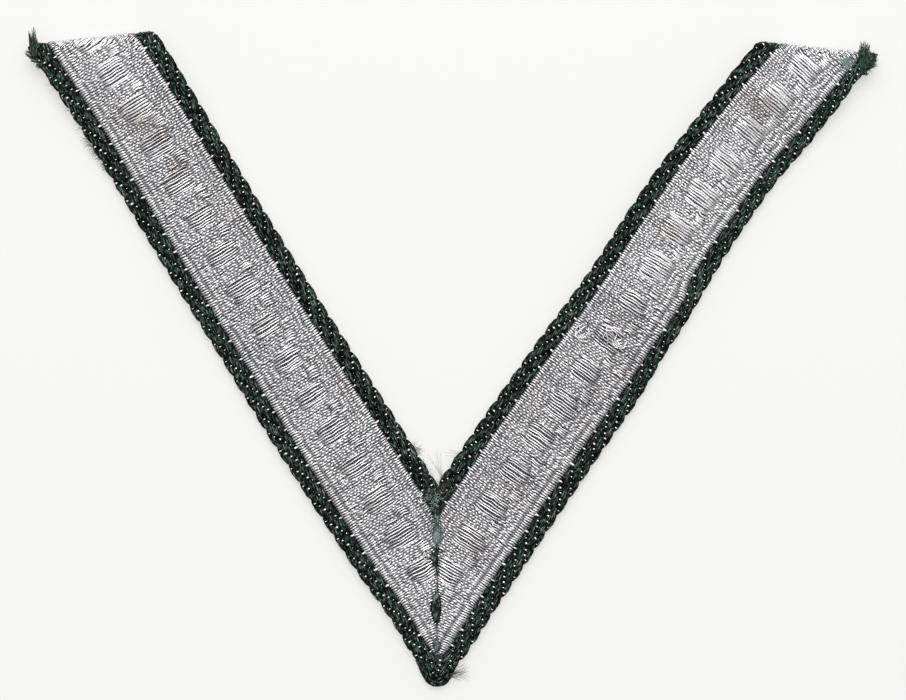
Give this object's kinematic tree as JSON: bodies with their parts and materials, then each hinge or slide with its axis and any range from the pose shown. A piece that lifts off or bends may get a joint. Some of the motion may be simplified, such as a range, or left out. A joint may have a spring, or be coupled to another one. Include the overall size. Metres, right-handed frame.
{
  "type": "rank chevron patch",
  "caption": "V-shaped sleeve chevron of silver metal-thread tape with dark green corded edges, mitred at the point, ends turned under.",
  "frame": {"origin": "middle of the whole part's outline, on the flat surface that its back lies on", "axes": "+X across the V from the left arm to the right arm, +Y from the point towards the open ends, +Z out of the face"},
  "size_m": [0.0998, 0.0768, 0.0031],
  "materials": {
    "silver_weave": "woven aluminium thread, bright where it floats, grey between",
    "green_cord": "dark green rayon and wool cord, streaky, soft sheen",
    "green_fray": "loose dark green fibre",
    "green_thread": "teal-green sewing thread of the mitre seam"
  },
  "bodies": {
    "root": {"left_band": "silver_weave", "right_band": "silver_weave", "left_outer_cord": "green_cord", "left_inner_cord": "green_cord", "right_outer_cord": "green_cord", "right_inner_cord": "green_cord", "left_fray": "green_fray", "right_fray": "green_fray"}
  },
  "joints": []
}
